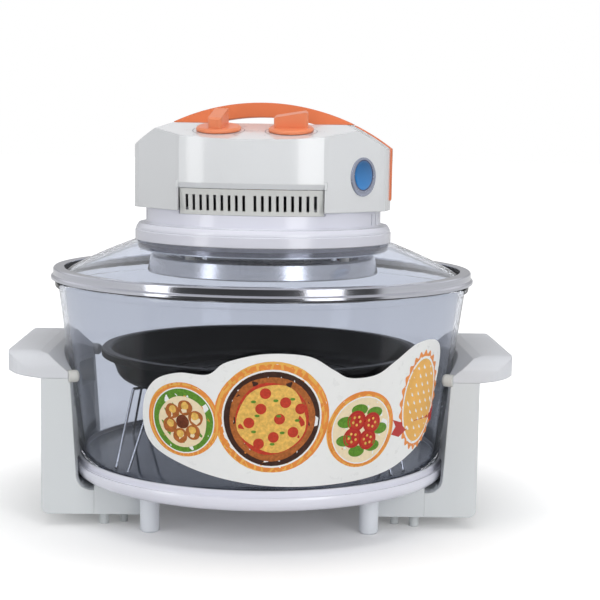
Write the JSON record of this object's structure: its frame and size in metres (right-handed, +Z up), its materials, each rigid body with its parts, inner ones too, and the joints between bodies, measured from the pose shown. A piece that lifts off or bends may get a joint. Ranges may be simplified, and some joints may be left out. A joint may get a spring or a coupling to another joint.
{
  "type": "halogen oven",
  "caption": "Halogen oven: glass bowl on a plastic stand with a wire rack and pan, under a lift-off glass lid with lamp, fans, timer and thermostat.",
  "frame": {"origin": "on the table, under the middle of the stand and the axis of the bowl", "axes": "+Z up; the front of the stand, between its grips, faces -Y and the grips are on -X and +X; the lid's controls face -Y, turned 6.6 degrees towards -X"},
  "size_m": [0.418, 0.3556, 0.3443],
  "materials": {
    "white_plastic": "smooth satin",
    "grey_plastic": "fine satin",
    "lavender_plastic": "smooth satin",
    "orange_plastic": "satin",
    "black_plastic": "matt",
    "clear_glass": "clear",
    "quartz": "clear",
    "black_enamel": "satin non-stick coating",
    "rim_steel": "polished",
    "wire_chrome": "bright",
    "slate_metal": "satin",
    "sheet_metal": "plain",
    "lamination": "plain",
    "copper_wire": "enamelled",
    "silicone": "matt",
    "soft_rubber": "matt",
    "white_ceramic": "matt",
    "alloy": "plain"
  },
  "bodies": {
    "stand": {"base_dish": "lavender_plastic", "dish_ring": "lavender_plastic", "heat_plate": "slate_metal", "leg_front_left": "grey_plastic", "leg_front_right": "grey_plastic", "leg_rear_left": "grey_plastic", "leg_rear_right": "grey_plastic", "left_post": "grey_plastic", "right_post": "grey_plastic", "left_post_foot": "grey_plastic", "right_post_foot": "grey_plastic", "left_grip": "grey_plastic", "right_grip": "grey_plastic", "bumper_front_left": "soft_rubber", "bumper_front_right": "soft_rubber", "bumper_rear_left": "soft_rubber", "bumper_rear_right": "soft_rubber", "stand_screws": "sheet_metal"},
    "bowl": {"glass_bowl": "clear_glass"},
    "rack": {"wire_rack": "wire_chrome"},
    "pan": {"baking_pan": "black_enamel"},
    "handle": {"carry_handle": "orange_plastic", "stem_clips": "sheet_metal"},
    "plunger": {"switch_plunger": "orange_plastic"},
    "timer_dial": {"timer_knob": "orange_plastic", "timer_shaft": "sheet_metal"},
    "thermostat_dial": {"thermostat_knob": "orange_plastic", "thermostat_shaft": "sheet_metal"},
    "fan": {"motor_shaft": "sheet_metal", "motor_rotor": "lamination", "hot_air_fan": "alloy", "cooling_fan": "black_plastic"},
    "lid": {"lid_glass": "clear_glass", "lid_rim": "rim_steel", "lid_gasket": "silicone", "retaining_ring": "sheet_metal", "head_base": "lavender_plastic", "head_cover": "white_plastic", "vent_grille": "white_plastic", "left_trim": "orange_plastic", "right_trim": "orange_plastic", "cord_gland": "black_plastic", "reflector": "alloy", "lamp_guard": "wire_chrome", "guard_standoffs": "white_ceramic", "halogen_lamp": "quartz", "lamp_holders": "white_ceramic", "sensor_probe": "copper_wire", "motor_stator": "lamination", "motor_coil": "copper_wire", "motor_bracket": "sheet_metal", "timer_unit": "grey_plastic", "thermostat_unit": "sheet_metal", "safety_switch": "black_plastic", "head_screws": "sheet_metal"}
  },
  "joints": [
    {"name": "bowl_lift", "type": "slide", "parent": "stand", "child": "bowl", "axis": [0, 0, 1], "range_m": [0, 0.12]},
    {"name": "rack_lift", "type": "slide", "parent": "bowl", "child": "rack", "axis": [0, 0, 1], "range_m": [0, 0.03]},
    {"name": "pan_lift", "type": "slide", "parent": "rack", "child": "pan", "axis": [0, 0, 1], "range_m": [0, 0.03]},
    {"name": "lid_lift", "type": "slide", "parent": "bowl", "child": "lid", "axis": [0, 0, 1], "range_m": [0, 0.12]},
    {"name": "handle_lift", "type": "slide", "parent": "lid", "child": "handle", "axis": [0, 0, 1], "range_m": [0, 0.006]},
    {"name": "plunger_slide", "type": "slide", "parent": "lid", "child": "plunger", "axis": [0, 0, 1], "range_m": [0, 0.0015]},
    {"name": "timer_turn", "type": "hinge", "parent": "lid", "child": "timer_dial", "pos_m": [-0.03662, -0.06422, 0.32066], "axis": [-0.0219, -0.1895, 0.9816], "range_deg": [-300, 0]},
    {"name": "thermostat_turn", "type": "hinge", "parent": "lid", "child": "thermostat_dial", "pos_m": [0.02099, -0.07088, 0.32066], "axis": [-0.0219, -0.1895, 0.9816], "range_deg": [-270, 0]},
    {"name": "fan_spin", "type": "hinge", "parent": "lid", "child": "fan", "pos_m": [0, 0, 0.26], "axis": [0, 0, 1], "continuous": true}
  ],
  "couplings": [
    {"joint": "plunger_slide", "follows": "handle_lift", "ratio": 0.25}
  ]
}
